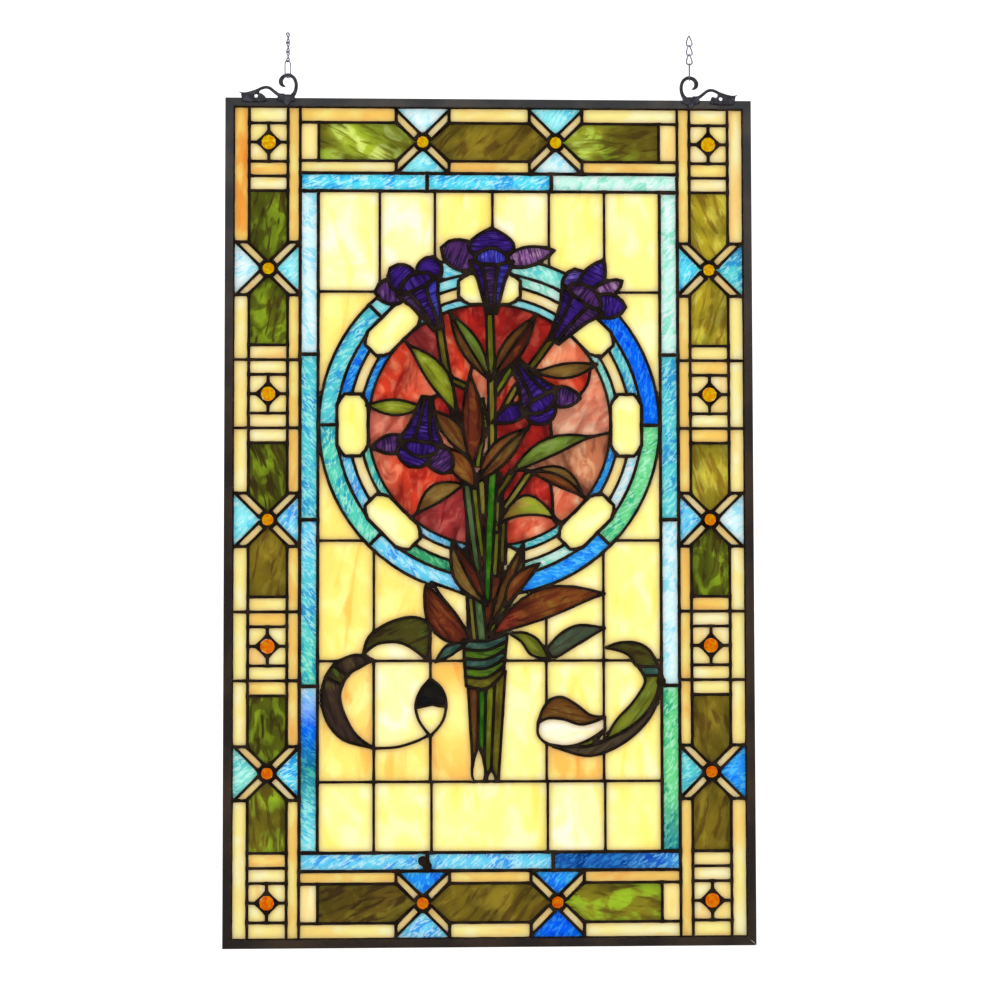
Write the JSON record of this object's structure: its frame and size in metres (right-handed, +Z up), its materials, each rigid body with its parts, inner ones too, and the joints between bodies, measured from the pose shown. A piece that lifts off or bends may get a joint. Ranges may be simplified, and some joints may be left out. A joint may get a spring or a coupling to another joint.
{
  "type": "hanging stained glass window panel",
  "caption": "Upright leaded window panel in a slim metal frame, with a jewelled geometric border, a bunch of bell flowers over a round medallion, scroll hangers and short chains on top.",
  "frame": {"origin": "middle of the line between the two top chain links, at the inside of their upper bend, where the hooks that hold the panel up bear", "axes": "+Z up, +X to the right of someone who looks at the front, +Y into the panel, so that its front faces -Y"},
  "size_m": [0.508, 0.0153, 0.8762],
  "materials": {
    "frame": "dark patina, satin",
    "solder": "black patina over rounded solder",
    "hanger": "cast, dark, satin",
    "chain": "dull grey",
    "cream": "rippled, translucent cream to amber",
    "green": "streaky olive and lime",
    "blue": "mottled sky blue to white",
    "ring": "streaky cyan, green and blue",
    "red": "streaky red to salmon",
    "violet": "streaky indigo and violet",
    "leaf": "streaky green and brown",
    "ribbon": "dark streaky olive and brown",
    "jewel": "polished amber"
  },
  "bodies": {
    "root": {"frame": "frame", "solder_lattice": "solder", "border_glass": "cream", "blue_border": "blue", "field": "cream", "green_left_top_above": "green", "green_left_top_below": "green", "green_left_upper_above": "green", "green_left_upper_below": "green", "green_left_lower_above": "green", "green_left_lower_below": "green", "green_right_top_above": "green", "green_right_top_below": "green", "green_right_upper_above": "green", "green_right_upper_below": "green", "green_right_lower_above": "green", "green_right_lower_below": "green", "green_top_row_middle": "green", "green_top_row_left": "green", "green_top_row_right": "green", "green_bottom_row_middle": "green", "green_bottom_row_left": "green", "green_bottom_row_right": "green", "ring_left": "ring", "ring_right": "ring", "ring_top_right": "ring", "ring_top_left": "ring", "medallion_right": "red", "medallion_left": "red", "bouquet": "leaf", "flower_left": "violet", "flower_right": "violet", "flower_top": "violet", "flower_inner_left": "violet", "flower_inner_right": "violet", "ribbon_left": "ribbon", "ribbon_right": "ribbon", "jewel_left_square_top": "jewel", "jewel_left_square_upper": "jewel", "jewel_left_square_lower": "jewel", "jewel_left_square_bottom": "jewel", "jewel_left_crossing_top": "jewel", "jewel_left_crossing_upper": "jewel", "jewel_left_crossing_lower": "jewel", "jewel_right_square_top": "jewel", "jewel_right_square_upper": "jewel", "jewel_right_square_lower": "jewel", "jewel_right_square_bottom": "jewel", "jewel_right_crossing_top": "jewel", "jewel_right_crossing_upper": "jewel", "jewel_right_crossing_lower": "jewel", "jewel_top_row_crossing_left": "jewel", "jewel_top_row_crossing_right": "jewel", "jewel_bottom_row_crossing_left": "jewel", "jewel_bottom_row_crossing_right": "jewel", "hanger_left": "hanger", "chain_left": "chain", "hanger_right": "hanger", "chain_right": "chain"}
  },
  "joints": []
}
